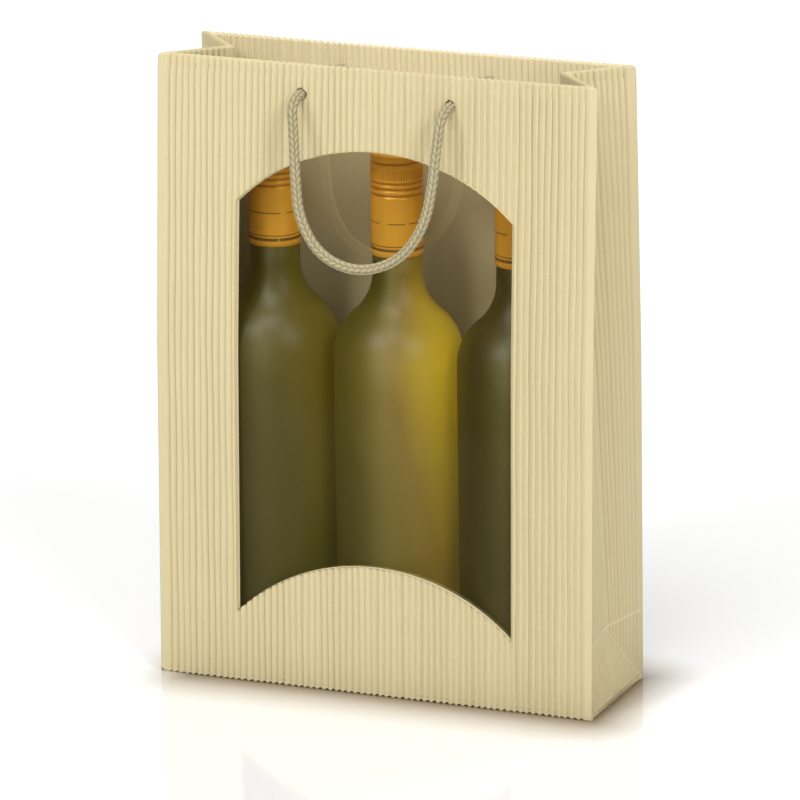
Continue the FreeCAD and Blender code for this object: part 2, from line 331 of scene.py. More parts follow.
class Bag:
    """The folded board as formulas. Lengths are in metres, and heights are above the table."""

    def __init__(self, sizes, window, handle):
        self.sizes = sizes
        self.window = window
        self.side = sizes.width / 2
        self.half_gusset = sizes.depth / 2
        self.fold_start = sizes.height - sizes.board
        self.fold_end = self.fold_start + math.pi * sizes.board
        self.hem_low = sizes.height - sizes.hem
        self.hole_height = sizes.height - handle.drop
        self.hole_radius = handle.hole / 2
        self.hole_x = handle.spacing / 2
        self.crease = self.find_crease()
        self.crease_fold = self.fold_in(self.crease)
        self.uneven = np.random.default_rng(7).uniform(0.62, 1.0, FLUTE_DRAWS)

    def half_depth(self, z):
        """Half the bag's depth: straight lines from the table to the belly and on to the rim."""
        s = self.sizes
        heights = [0.0, s.belly_height, s.height]
        return np.interp(z, heights, [s.depth / 2, s.belly_depth / 2, s.mouth_depth / 2])

    def fold_in(self, z):
        """How far the middle fold of a gusset stands in: each half keeps its own width."""
        return np.sqrt(np.maximum(self.half_gusset ** 2 - self.half_depth(z) ** 2, 0))

    def find_crease(self):
        z = self.half_gusset
        for _ in range(20):
            z = math.sqrt(self.half_gusset ** 2 - self.fold_in(z) ** 2)
        return z

    def fold_at(self, z):
        """The middle fold runs straight from crease to belly and from belly to rim."""
        heights = [self.crease, self.sizes.belly_height, self.sizes.height]
        return np.interp(z, heights, [float(self.fold_in(h)) for h in heights])

    def over_rim(self, p, depth):
        """Follows the board up the wall, over the rim in a half circle and down inside.
        Returns the distance in from the outer face, and the height, for a way p along the board."""
        board = self.sizes.board
        turn = np.clip((p - self.fold_start) / board, 0, math.pi)
        reach = board - depth
        inward = board - reach * np.cos(turn)
        height = np.minimum(p, self.fold_start) + reach * np.sin(turn) - np.maximum(p - self.fold_end, 0)
        return inward, height

    def down(self, z):
        """The way p along the board at which the hem is at height z."""
        return self.fold_end + self.fold_start - z

    def flutes(self, phase, count, p, first):
        """Depth below the crests: a raised cosine, pressed flat beside the folds and a little at the rim.
        Each flute has its own depth and wanders a little to the left and right."""
        from_fold = np.minimum(phase, count - phase)
        wander = 0.06 * np.sin(55 * p + 1.1 * phase) * np.clip(from_fold - 1, 0, 1)
        wave = (0.5 - 0.5 * np.cos(2 * math.pi * (phase + wander))) ** 1.4
        near_fold = np.clip(from_fold - 0.55, 0, 1)
        uneven = self.uneven[np.clip(np.floor(phase), 0, count - 1).astype(int) + first]
        past_rim = p - self.fold_start
        rim = 1 - 0.2 * hill(past_rim, 0, 0.004)
        dent = 0.0004 * hill(past_rim, -0.0045, 0.0016)
        crush = 0.0002 * hill(past_rim, 0.002, 0.0045)
        pressed = near_fold * uneven
        return self.sizes.rise * wave * pressed * rim + crush + dent * pressed * (1 - wave)

    def arc(self, x, base):
        """Height of an arched window edge: a circle through both corners and the rise in the middle."""
        half = self.window.width / 2
        rise = self.window.rise
        radius = (half ** 2 + rise ** 2) / (2 * rise)
        return base + rise - radius + np.sqrt(np.maximum(radius ** 2 - x ** 2, 0))

    def strips(self, step, back):
        """Upright strips of a broad wall, cut at the window's sides and on the crests beside each hole.
        Each comes with its x places and its stretches of board."""
        pitch = self.sizes.width / self.sizes.front_flutes
        first = math.floor((self.side - self.hole_x - self.hole_radius) / pitch)
        last = math.ceil((self.side - self.hole_x + self.hole_radius) / pitch)
        holed = [first * pitch - self.side, last * pitch - self.side]
        half = self.window.width / 2
        cuts = sorted({-self.side, self.side, -half, half, holed[0], holed[1], -holed[0], -holed[1]})
        for left, right in zip(cuts, cuts[1:]):
            middle = (left + right) / 2
            x = np.linspace(left, right, max(2, round((right - left) / step) + 1))
            rise = np.zeros_like(x)
            if abs(abs(middle) - self.hole_x) < pitch:
                half_turn = np.linspace(0, math.pi, 21)
                round_x = math.copysign(self.hole_x, middle) - self.hole_radius * np.cos(half_turn)
                outside = np.abs(np.abs(x) - self.hole_x) > self.hole_radius + step / 3
                x = np.sort(np.concatenate([x[outside], round_x]))
                rise = np.sqrt(np.maximum(self.hole_radius ** 2 - (np.abs(x) - self.hole_x) ** 2, 0))
            for p in self.stretches(x, rise, not back and abs(middle) < half):
                yield x, p

    def stretches(self, x, rise, in_window):
        """Ways p along the board, from the table to the edge of the hem. Every strip breaks at the same
        heights with the same number of rows, so that neighbours share their points."""
        low, high, hem = (np.full_like(x, z) for z in (self.window.low, self.window.high, self.hem_low))
        hole = self.hole_height
        if in_window:
            low = self.arc(x, self.window.low)
            high = self.arc(x, self.window.high)
            hem = np.maximum(hem, high)
        yield self.rows(0 * x, low, 8)
        if not in_window:
            yield self.rows(low, high, 27)
        yield self.rows(high, hole - rise, 9)
        yield self.over(hole + rise)
        yield self.rows(self.down(hole - rise), self.down(hem), 5)

    def rows(self, start, end, count):
        """Ways p from start to end, with a close row beside each end so that cut edges stay crisp."""
        return np.vstack([start, np.linspace(start + CUT_MARGIN, end - CUT_MARGIN, count), end])

    def over(self, start):
        """Ways p from start up to the rim, round its fold and down to the same height inside."""
        rim = 0 * start
        turn = np.linspace(self.fold_start, self.fold_end, 9)[:, None] + rim
        up = self.rows(start, rim + self.fold_start, 9)[:-1]
        back_down = self.rows(rim + self.fold_end, self.down(start), 3)[1:]
        return np.vstack([up, turn, back_down])

    def corner_ways(self):
        """The ways p down the corner of the bag, as every strip has them."""
        corner = np.array([self.side])
        parts = list(self.stretches(corner, 0 * corner, False))
        return np.vstack([parts[0]] + [part[1:] for part in parts[1:]])

    def broad_wall(self, back, depth_of, step):
        """Front or back: (across, height) points moved in by the depth of the flutes."""
        sheets = []
        shades = []
        for x, p in self.strips(step, back):
            across = x[None, :] + 0 * p
            depth = depth_of(across, p)
            inward, z = self.over_rim(p, depth)
            half = self.half_depth(z)
            lean = (half / self.half_gusset) / (1 - self.fold_at(z) / self.half_gusset)
            share = across / self.side
            y = half - inward
            lift = self.bottom_lift(depth, p) + self.worn_corner(across, p, back)
            out = surface(across - share * inward * lean, y if back else -y, z + lift)
            sheets.append((out, back))
            shades.append(depth / self.sizes.rise)
        return sheets, shades

    def bottom_lift(self, depth, p):
        """The bottom edge is scalloped: the valleys end higher than the crests."""
        return 0.8 * depth * np.clip(1 - p / 0.004, 0, 1)

    def worn_corner(self, across, p, back):
        """The front left corner of the bottom is a little rounded."""
        if back:
            return 0.0
        from_corner = across + self.side
        return 0.002 * np.clip(1 - from_corner / 0.004, 0, 1) * np.clip(1 - p / 0.008, 0, 1)

    def gusset(self, side, back, depth_of, columns):
        """Half a gusset, from its corner (0) to the middle fold (1). Below the crease it is a triangle that
        leans in and one that stands, and above it the fold stands in by fold_at."""
        s = np.linspace(0, 1, columns)[None, :]
        t = np.linspace(0, 1, 9)[:-1, None]
        ways = self.corner_ways()
        p = np.concatenate([0 * t, ways])
        fold_p = np.concatenate([self.crease * t, np.maximum(ways, self.crease)])
        way = p * (1 - s) + fold_p * s
        depth = depth_of(s, way)
        inward, corner_z = self.over_rim(p, depth)
        fold_z = self.over_rim(fold_p, depth)[1]
        half = self.half_depth(corner_z)
        low = np.minimum(fold_z / self.crease, 1) * self.crease_fold
        fold = np.where(fold_p < self.crease, low, self.fold_at(fold_z))
        g = self.half_gusset
        corner_x = self.side - inward * (half / g) / (1 - np.minimum(fold, 0.9 * g) / g)
        fold_x = self.side - fold - inward * g / self.half_depth(fold_z)
        x = corner_x * (1 - s) + fold_x * s
        y = (half - inward) * (1 - s)
        z = corner_z * (1 - s) + fold_z * s + self.bottom_lift(depth, way)
        points = surface(side * x, y if back else -y, z)
        return (points, (side > 0) == back), depth / self.sizes.rise


def paper_look(name, colour):
    """Straw paper: fibres and specks, with painted shade in the flute valleys and towards the foot. Faint
    cross marks show where layers lie behind. The creases of the gussets are paler, as worn board and as a
    painted highlight, and the turned-in layer is painted paler as painted light."""
    look = Look(name)
    fibres = look.noise(look.place((1.0, 1.0, 0.12)), 900.0, 4.0, 0.65)
    cloud = look.noise(look.place(), 26.0, 3.0)
    specks = look.noise(look.place((1.0, 1.0, 0.5)), 420.0, 2.0, 0.8)
    light = tinted(colour, (1.07, 1.07, 1.08))
    pale = tinted(colour, (1.20, 1.22, 1.30))
    tone = look.mix(fibres * 0.6 + cloud * 0.4, tinted(colour, (0.93, 0.92, 0.89)), light)
    tone = look.mix(look.band(specks, 0.70, 2.0, 0.03) * 0.3, tone, tinted(colour, 0.66))
    # Painted shade in the flute valleys, set by the flute attribute.
    tone = look.mix(look.attribute("flute") ** 1.5 * 0.50, tone, tinted(colour, (0.66, 0.62, 0.50)))
    height = look.axis("Z")
    # Painted shade that grows towards the foot of the bag.
    tone = look.mix((0.37 - height) * 0.60, tone, tinted(colour, 0.60))
    marks = sum(look.band(height, low, high, 0.0004) for low, high in LAYER_MARKS)
    breaks = look.band(look.noise(look.place((1.0, 1.0, 0.0)), 150.0, 1.0), 0.46, 2.0, 0.03)
    tone = look.mix(marks * breaks * 0.30, tone, light)
    # The paler creases, worn board with a painted highlight, are on the gussets only: the one across them,
    # and the two below it that meet there.
    away = look.axis("Y").math("ABSOLUTE")
    on_side = look.band(look.axis("X").math("ABSOLUTE"), 0.1262, 0.140, 0.0001)
    inner_side = look.band(away, -1.0, 0.0405, 0.0003)
    diagonal = look.band(away / 0.043 + height / 0.0423, 0.992, 1.008, 0.006)
    worn = look.band(height, 0.0421, 0.0429, 0.0005) + diagonal * look.band(height, 0.001, 0.042, 0.0005)
    tone = look.mix(worn * on_side * inner_side * 0.7, tone, pale)
    # The turned-in layer is painted paler, as painted light.
    tone = look.mix(look.attribute("inside"), tone, pale)
    bump = look.bump(fibres * 0.7 + cloud * 0.3, 0.00012)
    return look.paint({"Base Color": tone, "Roughness": 0.80 + fibres * 0.1, "Normal": bump,
                       "Specular IOR Level": 0.2})


class BOTTLEBAG_OT_board(bpy.types.Operator):
    """Folds the fluted board: front with its window, back, gussets, hem and bottom"""
    bl_idname = "bottlebag.board"
    bl_label = "Board"

    def execute(self, context):
        scene = context.scene
        sizes = scene.bottlebag_board
        bag = Bag(sizes, scene.bottlebag_window, scene.bottlebag_handle)
        material = paper_look("straw_board", tuple(sizes.colour))
        liner_depth = sizes.board - 1.2 * sizes.paper
        step = sizes.width / sizes.front_flutes / 8
        half_gusset = sizes.gusset_flutes

        def depth_of(layer, first, count, start, span):
            """The depth of a layer, as a function of places from start over a span and of ways p."""
            if layer == "liner":
                return lambda a, p: np.full(np.broadcast(a, p).shape, liner_depth)
            return lambda a, p: bag.flutes((a - start) / span * count, count, p, first)

        pieces = []
        for back, name in ((False, "front"), (True, "back")):
            for layer, width, columns, shade in (("flutes", step, half_gusset * 8 + 1, 1.0),
                                                 ("liner", 0.004, 9, 0.0)):
                depth = depth_of(layer, 100 * back, sizes.front_flutes, -bag.side, sizes.width)
                sheets, shades = bag.broad_wall(back, depth, width)
                inside = [self.inside(bag, grid) for grid, flip in sheets]
                for side in (-1, 1):
                    depth = depth_of(layer, 200 + 20 * (side > 0) + 40 * back, half_gusset, 0, 1)
                    grid, grid_shade = bag.gusset(side, back, depth, columns)
                    sheets.append(grid)
                    # The painted valley shade is stronger on the gussets.
                    shades.append(1.45 * grid_shade)
                    inside.append(0 * grid_shade)
                pieces.append(add_piece(name + "_" + layer, sheets, material, shades={
                    "flute": [shade * values for values in shades], "inside": inside}))
        pieces += self.bottom(bag, material, step)
        for piece in pieces:
            weld(piece)
            thicken(piece, sizes.paper)
        self.cut_edges(bag)
        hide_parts("bag_board")
        return {"FINISHED"}

    def inside(self, bag, grid):
        """1 on the turned-in layer of a broad wall, which is painted paler as painted light, and 0 elsewhere.
        """
        inward = bag.half_depth(grid[..., 2]) - np.abs(grid[..., 1])
        return (inward > bag.sizes.board * 1.05) * 1.0

    def cut_edges(self, bag):
        """The cut edge of the board round the window, and round the holes through wall and hem."""
        half = bag.window.width / 2
        board = bag.sizes.board
        x = np.linspace(-half, half, 121)
        side_z = np.linspace(bag.window.low, bag.window.high, 30)
        sheets = []
        depth = np.array([-0.0002, board])[:, None]
        for across, height, flip in (
            (x, bag.arc(x, bag.window.low), True),
            (x, bag.arc(x, bag.window.high), False),
            (-half, side_z, False),
            (half, side_z, True),
        ):
            sheets.append((surface(across, -bag.half_depth(height) + depth, height), flip))
        turn = np.linspace(0, 2 * math.pi, 41)
        depth = np.array([0.0008, 2 * board])[:, None]
        height = bag.hole_height + bag.hole_radius * np.sin(turn)
        for face in (-1, 1):
            for hole_x in (-bag.hole_x, bag.hole_x):
                across = hole_x + bag.hole_radius * np.cos(turn)
                sheets.append((surface(across, face * (bag.half_depth(height) - depth), height), face > 0))
        material = paper_look("cut_board", tinted(bag.sizes.colour, 1.22))
        shades = [0 * grid[..., 0] for grid, flip in sheets]
        piece = add_piece("cut_edges", sheets, material, shades={"flute": shades})
        piece.data.polygons.foreach_set("use_smooth", np.zeros(len(piece.data.polygons), bool))

    def bottom(self, bag, material, step):
        """Two overlapping flaps with flutes front to back, and a flat inner layer under the card."""
        sizes = bag.sizes
        inset = 0.0006
        reach = bag.side - inset
        x = np.linspace(-reach, reach, round(sizes.width / step) + 1)[None, :]
        phase = (x + bag.side) / sizes.width * sizes.front_flutes
        edge = -0.026 - 0.010 * np.clip((np.abs(x) - bag.side + 0.020) / 0.020, 0, 1)
        half = bag.half_gusset - inset
        t = np.linspace(0, 1, 9)[:, None]
        depth = bag.flutes(phase, sizes.front_flutes, 0 * t, 0)
        sheets = [
            ("back_flap", surface(x, half + (edge - half) * t, depth), False, depth),
            ("front_flap", surface(x, -half + (half - 0.022) * t, depth + 0.0009 * np.clip(t * 9, 0, 1)),
             True, depth),
        ]
        flat = surface(np.linspace(-reach, reach, 3), np.linspace(-half, half, 3)[:, None], 2 * sizes.board)
        sheets.append(("inner_bottom", flat, False, 0 * flat[..., 0]))
        return [add_piece(name, [(points, flip)], material, shades={"flute": [shade / sizes.rise]})
                for name, points, flip, shade in sheets]


class BOTTLEBAG_OT_film(bpy.types.Operator):
    """Glues the clear film behind the window"""
    bl_idname = "bottlebag.film"
    bl_label = "Film"

    def execute(self, context):
        """A sheet along the inner face of the front, with shallow waves."""
        scene = context.scene
        bag = Bag(scene.bottlebag_board, scene.bottlebag_window, scene.bottlebag_handle)
        low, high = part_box("window_film")
        x = np.linspace(low.x, high.x, 70)[None, :]
        z = np.linspace(low.z, high.z, 110)[:, None]
        wave = 0.00022 * np.sin(x * 31 + z * 12) * np.sin(z * 23 - x * 7)
        wave += 0.00008 * np.sin(x * 90 + z * 60)
        edge = np.clip(np.minimum(bag.window.width / 2 - np.abs(x), 0.02) / 0.02, 0, 1)
        y = -bag.half_depth(z) + bag.sizes.board + 0.0002 + wave * edge
        look = Look("clear_film")
        haze = look.noise(look.place((1.0, 1.0, 0.6)), 14.0, 2.0)
        clear = look.node("ShaderNodeBsdfTransparent", None, {0: (0.93, 0.93, 0.88, 1.0)})
        gloss = look.node("ShaderNodeBsdfGlossy", None, {"Roughness": 0.035, "Color": (1.0, 1.0, 0.97, 1.0)})
        facing = look.node("ShaderNodeLayerWeight", None, {"Blend": 0.25}, "Facing")
        share = bag.window.sheen * (0.6 + haze * 0.4) + facing * 0.03
        shader = look.node("ShaderNodeMixShader", None, {0: share, 1: clear, 2: gloss})
        film = add_piece("film", [(surface(x, y, z), False)], look.finish(shader))
        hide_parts("window_film")
        return {"FINISHED"}


def cord_look(colour):
    """Cotton yarn with fine fibres, and painted shade between the stitches."""
    look = Look("cotton_cord")
    stitch = look.attribute("stitch")
    fibres = look.noise(look.place(), 2600.0, 3.0, 0.7)
    tone = look.mix(fibres, tinted(colour, 0.80), tinted(colour, 1.15))
    # Painted shade between the stitches.
    tone = look.mix((1 - stitch) ** 1.5 * 0.9, tone, tinted(colour, (0.36, 0.33, 0.27)))
    return look.paint({"Base Color": tone, "Roughness": 0.9, "Normal": look.bump(fibres, 0.0002),
                       "Sheen Weight": 0.25, "Specular IOR Level": 0.1})


def braid(around, along, strands, stitch):
    """Height of a plait from 0 to 1: upright columns of plump stitches that lean left and right by turns."""
    column = 2 * strands * around / (2 * math.pi)
    across = column % 1
    lean = np.where(np.floor(column) % 2 < 1, across - 0.5, 0.5 - across)
    way = along / stitch + 0.85 * lean + 0.5 * (np.floor(column / 2) % 2)
    return np.sin(math.pi * across) ** 0.45 * np.sin(math.pi * (way % 1)) ** 0.6


def tube(centre, sideways, radius, segments, strands, stitch, closed=False):
    """Carries a braided circle along a path, with round ends or joined into a ring. Sideways is a direction
    across the path at each point."""
    if closed:
        ahead = np.roll(centre, -1, 0) - np.roll(centre, 1, 0)
    else:
        ahead = np.gradient(centre, axis=0)
    ahead /= np.linalg.norm(ahead, axis=1)[:, None]
    normal = sideways - ahead * np.sum(sideways * ahead, 1)[:, None]
    normal /= np.linalg.norm(normal, axis=1)[:, None]
    other = np.cross(ahead, normal)
    steps = np.linalg.norm(np.diff(centre, axis=0), axis=1)
    along = np.concatenate([[0], np.cumsum(steps)])[:, None]
    if closed:
        along *= round(along[-1, 0] / stitch) * stitch / along[-1, 0]
    angle = np.linspace(0, 2 * math.pi, segments + 1)[None, :]
    height = braid(angle, along, strands, stitch)
    reach = (radius * (0.80 + 0.20 * height))[:, :, None]
    if not closed:
        near_end = np.clip(np.minimum(along, along[-1] - along) / (0.6 * radius), 0, 1)
        reach = reach * np.sqrt(1 - (1 - near_end) ** 2)[:, :, None]
    angle = angle[:, :, None]
    ring = normal[:, None, :] * np.cos(angle) + other[:, None, :] * np.sin(angle)
    return centre[:, None, :] + reach * ring, height


def smooth_path(name, points, spacing):
    """Points along the NURBS spline that has the route as its control points, evenly spaced."""
    curve = bpy.data.curves.new(name, "CURVE")
    curve.dimensions = "3D"
    spline = curve.splines.new("NURBS")
    spline.points.add(len(points) - 1)
    spline.points.foreach_set("co", np.column_stack([points, np.ones(len(points))]).ravel())
    spline.order_u = 3
    spline.use_endpoint_u = True
    spline.resolution_u = 24
    guide = bpy.data.objects.new(name, curve)
    bpy.context.scene.collection.objects.link(guide)
    read = bpy.data.meshes.new_from_object(guide)
    line = np.zeros(len(read.vertices) * 3)
    read.vertices.foreach_get("co", line)
    line = line.reshape(-1, 3)
    bpy.data.objects.remove(guide)
    bpy.data.meshes.remove(read)
    way = np.concatenate([[0], np.cumsum(np.linalg.norm(np.diff(line, axis=0), axis=1))])
    even = np.linspace(0, way[-1], round(way[-1] / spacing) + 1)
    return np.column_stack([np.interp(even, way, line[:, i]) for i in range(3)])


# Control points of both cords from hole to hole. The front one hangs a little to the left.
FRONT_ROUTE = [
    (-0.046, -0.0277, 0.352), (-0.046, -0.045, 0.352), (-0.0432, -0.049, 0.334),
    (-0.0408, -0.053, 0.311), (-0.0382, -0.055, 0.285), (-0.025, -0.055, 0.2635),
    (-0.001, -0.0545, 0.256), (0.0245, -0.055, 0.266), (0.039, -0.055, 0.287),
    (0.0435, -0.0535, 0.310), (0.0445, -0.049, 0.333), (0.046, -0.045, 0.352),
    (0.046, -0.0277, 0.352),
]

BACK_ROUTE = [
    (0.046, 0.0277, 0.352), (0.046, 0.045, 0.352), (0.0445, 0.0485, 0.334),
    (0.0425, 0.052, 0.311), (0.037, 0.054, 0.287), (0.0225, 0.0545, 0.2655),
    (-0.001, 0.054, 0.257), (-0.0245, 0.0545, 0.2665), (-0.038, 0.0545, 0.288),
    (-0.043, 0.0525, 0.311), (-0.0455, 0.0485, 0.334), (-0.046, 0.045, 0.352),
    (-0.046, 0.0277, 0.352),
]


class BOTTLEBAG_OT_handles(bpy.types.Operator):
    """Braids both cord handles and ties their knots inside the rim"""
    bl_idname = "bottlebag.handles"
    bl_label = "Handles"

    def execute(self, context):
        handle = context.scene.bottlebag_handle
        material = cord_look(tuple(handle.colour))
        for face, route, side in (("front", FRONT_ROUTE, -1), ("back", BACK_ROUTE, 1)):
            for hand in ("left", "right"):
                node = face + "_knot_" + hand
                self.knot(node, side, handle, material)
            path = smooth_path(face + "_guide", route, 0.0004)
            turn = math.pi * (0.5 + 0.5 * np.clip(path[:, 0] / route[0][0], -1, 1))
            sideways = surface(-np.sign(route[0][0]) * np.cos(turn), 0.0, -np.sin(turn))
            points, height = tube(path, sideways, handle.diameter / 2, 48, handle.strands, handle.stitch)
            cord = add_piece(face + "_handle_cord", [(points, False)], material, body=None,
                             shades={"stitch": [height]})
            weld(cord)
            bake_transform(cord)
            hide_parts(face + "_cord")
        return {"FINISHED"}

    def knot(self, node, side, handle, material):
        """A pulled-tight overhand knot: a trefoil (sin t + 2 sin 2t, -sin 3t, cos t - 2 cos 2t) and a short
        tail."""
        low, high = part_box(node)
        centre = (low + high) / 2
        t = np.linspace(0, 2 * math.pi, 241)
        radius = handle.diameter / 2 * 0.93
        wide = (high.x - low.x) / 2 - radius
        deep = 0.0028
        middle_y = side * (abs(low.y if side < 0 else high.y) - deep - radius)
        path = surface(
            centre.x + wide / 3 * (np.sin(t) + 2 * np.sin(2 * t)),
            middle_y - deep * np.sin(3 * t),
            centre.z + wide / 3 * (np.cos(t) - 2 * np.cos(2 * t)),
        )
        outward = path - np.array([centre.x, middle_y, centre.z])
        across = outward + np.array([0, 0.004, 0])
        points, height = tube(path, across, radius, 32, handle.strands, handle.stitch, closed=True)
        tail_y = np.linspace(middle_y, low.y if side > 0 else high.y, 40)
        tail = surface(centre.x, tail_y, centre.z)
        upward = np.tile([0.0, 0.0, 1.0], (40, 1))
        end, end_height = tube(tail, upward, radius * 0.95, 32, handle.strands, handle.stitch)
        piece = add_piece(node + "_tied", [(points, False), (end, False)], material,
                          shades={"stitch": [height, end_height]})
        weld(piece)
        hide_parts(node)
        return piece


def bottle_profile(bottle):
    """Half outline from the punt over the heel and up to the mouth. Shoulders are two equal arcs."""
    body = bottle.shoulder / 2
    foot = bottle.foot / 2
    neck = bottle.neck / 2
    low = bottle.shoulder_low
    high = bottle.shoulder_high
    turn = 2 * math.atan2(body - neck, high - low)
    radius = (high - low) / math.sin(turn) / 2
    a = np.linspace(0, turn, 22)
    lower = np.column_stack([body - radius * (1 - np.cos(a)), low + radius * np.sin(a)])
    upper = np.column_stack([neck + radius * (1 - np.cos(a[::-1])), high - radius * np.sin(a[::-1])])
    heel = np.linspace(0, math.pi / 2, 10)
    corner = 0.005
    punt = np.linspace(0, 1, 10)
    under = np.column_stack([0.023 * punt, 0.014 * (1 - punt ** 2)])
    edge = np.column_stack([foot - corner + corner * np.sin(heel), corner - corner * np.cos(heel)])
    side = np.linspace(0, 1, 24)[1:-1]
    wall = np.column_stack([foot + (body - foot) * side ** 0.8, corner + (low - corner) * side])
    top = np.array([[neck, 0.2526], [0.013, 0.2541], [0.013, MOUTH], [0.0095, MOUTH], [0.0, MOUTH]])
    return np.concatenate([under, edge, wall, lower, upper[1:], top])


def glass_look(name, dark, bright):
    """Frosted green glass over pale wine, with painted light: dark and green as painted shade, brown and then
    yellow as painted light through the wine, set by the glow attribute. The sheen attribute adds a painted
    highlight, and the glass glows by emission as painted light."""
    look = Look(name)
    glow = look.attribute("glow")
    cloud = look.noise(look.place((1.0, 1.0, 0.45)), 24.0, 2.0)
    lit = glow + (cloud - 0.5) * 0.16
    brown = tinted(bright, (0.42, 0.40, 0.75))
    green = tinted(dark, (1.95, 2.2, 1.6))
    stops = [(0.0, dark), (0.25, green), (0.60, brown), (1.0, bright)]
    tone = look.ramp(lit, stops)
    # Painted highlight: a pale streak and spots, set by the sheen attribute.
    tone = look.mix(look.attribute("sheen") * 0.16, tone, (0.40, 0.35, 0.18))
    # Painted light: the glass glows by emission in the colours of the glow ramp.
    through = look.ramp(lit, [(at, tinted(colour, share))
                              for (at, colour), share in zip(stops, (0.35, 0.40, 0.52, 0.62))])
    frost = look.noise(look.place(), 1400.0, 2.0)
    return look.paint({"Base Color": tone, "Roughness": 0.38 + frost * 0.08,
                       "Normal": look.bump(frost, 0.00004), "Specular IOR Level": 0.55, "IOR": 1.5,
                       "Emission Color": through, "Emission Strength": 1.0})


class BOTTLEBAG_OT_bottles(bpy.types.Operator):
    """Blows the three frosted bottles"""
    bl_idname = "bottlebag.bottles"
    bl_label = "Bottles"

    def execute(self, context):
        bottle = context.scene.bottlebag_bottle
        profile = bottle_profile(bottle)
        # How strongly the painted light shows on each bottle, at its brightest side and at its darkest, and
        # how strongly its painted highlight streak shows.
        strengths = {"left": (0.44, 0.08, 0.7), "middle": (1.0, 0.28, 1.0), "right": (0.45, 0.05, 0.7)}
        for place in PLACES:
            low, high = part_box("bottle_" + place)
            centre = (low + high) / 2
            points = turned(profile, 128, centre.x, centre.y, low.z)
            angle = np.arctan2(points[..., 1] - centre.y, points[..., 0] - centre.x)
            level = (points[..., 2] - low.z) / bottle.shoulder_low
            off = (angle + math.radians(14) + math.pi) % (2 * math.pi) - math.pi
            painted_light, base, painted_highlight = strengths[place]
            # Painted light: the glow is brightest on one side of each bottle and higher up.
            side = base + (1 - base) * (0.5 + 0.5 * np.cos(np.clip(1.5 * off, -math.pi, math.pi)))
            rise = 0.48 + 0.52 * np.clip(level, 0, 1) ** 1.5
            glow = side * painted_light * rise * np.clip(2.4 - 1.4 * level, 0.35, 1)
            # Painted highlight: an upright streak on one side, with spots at the shoulder and the neck.
            streak = hill(angle, math.radians(-81), 0.26)
            spots = hill(level, 1.02, 0.07) + hill(level, 1.32, 0.05)
            sheen = streak * (0.3 + 0.6 * np.clip(level, 0, 1) ** 2 + 1.1 * spots) * painted_highlight
            material = glass_look("frosted_glass_" + place, tuple(bottle.dark), tuple(bottle.bright))
            piece = add_piece("frosted_bottle_" + place, [(points, False)], material,
                              shades={"glow": [glow], "sheen": [sheen]})
            weld(piece)
            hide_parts("bottle_" + place)
        return {"FINISHED"}


def cap_look(colour):
    """Satin gold lacquer with dark printed rings, a broken hairline, and painted shade in the grooves and
    between the knurl ribs.
    """
    look = Look("gold_cap")
    height = look.axis("Z") - CAP_LOW.z
    streaks = look.noise(look.place((1.0, 1.0, 0.02)), 260.0, 2.0)
    tone = look.mix(streaks * 0.5, colour, tinted(colour, 1.12))
    rings = look.band(height, 0.0034, 0.0052, 0.0002) + look.band(height, 0.0063, 0.0069, 0.0002)
    broken = look.band(look.noise(look.place((1.0, 1.0, 0.0)), 160.0, 0.0), 0.42, 2.0, 0.02)
    hairline = look.band(height, 0.0198, 0.0204, 0.0002) * broken
    worn = look.band(look.noise(look.place(), 500.0, 2.0), 0.30, 2.0, 0.05)
    ink = (rings * worn + hairline) * 0.85
    tone = look.mix(ink, tone, (0.05, 0.025, 0.008))
    # Painted shade in the grooves and in the cuts between the knurl ribs.
    dip = look.attribute("groove")
    tone = look.mix(dip * 0.7, tone, tinted(colour, (0.35, 0.24, 0.15)))
    return look.paint({"Base Color": tone, "Metallic": 0.38 - ink * 0.35,
                       "Roughness": 0.27 + streaks * 0.08})


def cap_outline(radius, length):
    """Radius over height, and how deep in a groove each point lies: plain skirt, three grooves with beads
    between, a bulging band, a groove and a top bead."""
    z = np.concatenate([np.linspace(0, 0.034, 18), np.linspace(0.0342, length - 0.0012, 150)])
    r = np.full_like(z, radius)
    dip = np.zeros_like(z)
    for middle, wide, deep in GROOVES:
        shape = hill(z, middle, wide)
        r -= deep * shape
        dip += shape
    for middle, wide in BEADS:
        r += 0.00012 * hill(z, middle, wide)
    turn = np.linspace(0, math.pi / 2, 8)[1:]
    edge = 0.0012
    z = np.concatenate([z, length - edge + edge * np.sin(turn), [length, length - 0.0001]])
    r = np.concatenate([r, r[-1] - edge + edge * np.cos(turn), [radius * 0.8, 0.0]])
    dip = np.concatenate([dip, np.zeros(len(turn) + 2)])
    return np.column_stack([r, z]), dip


def knurl(z, angle):
    """Fine upright ribs on the band, cut into it."""
    band = np.clip((z - 0.0450) / 0.0008, 0, 1) * np.clip((0.0520 - z) / 0.0008, 0, 1)
    return band * -KNURL_DEPTH * (0.5 - 0.5 * np.cos(KNURL_RIBS * angle))


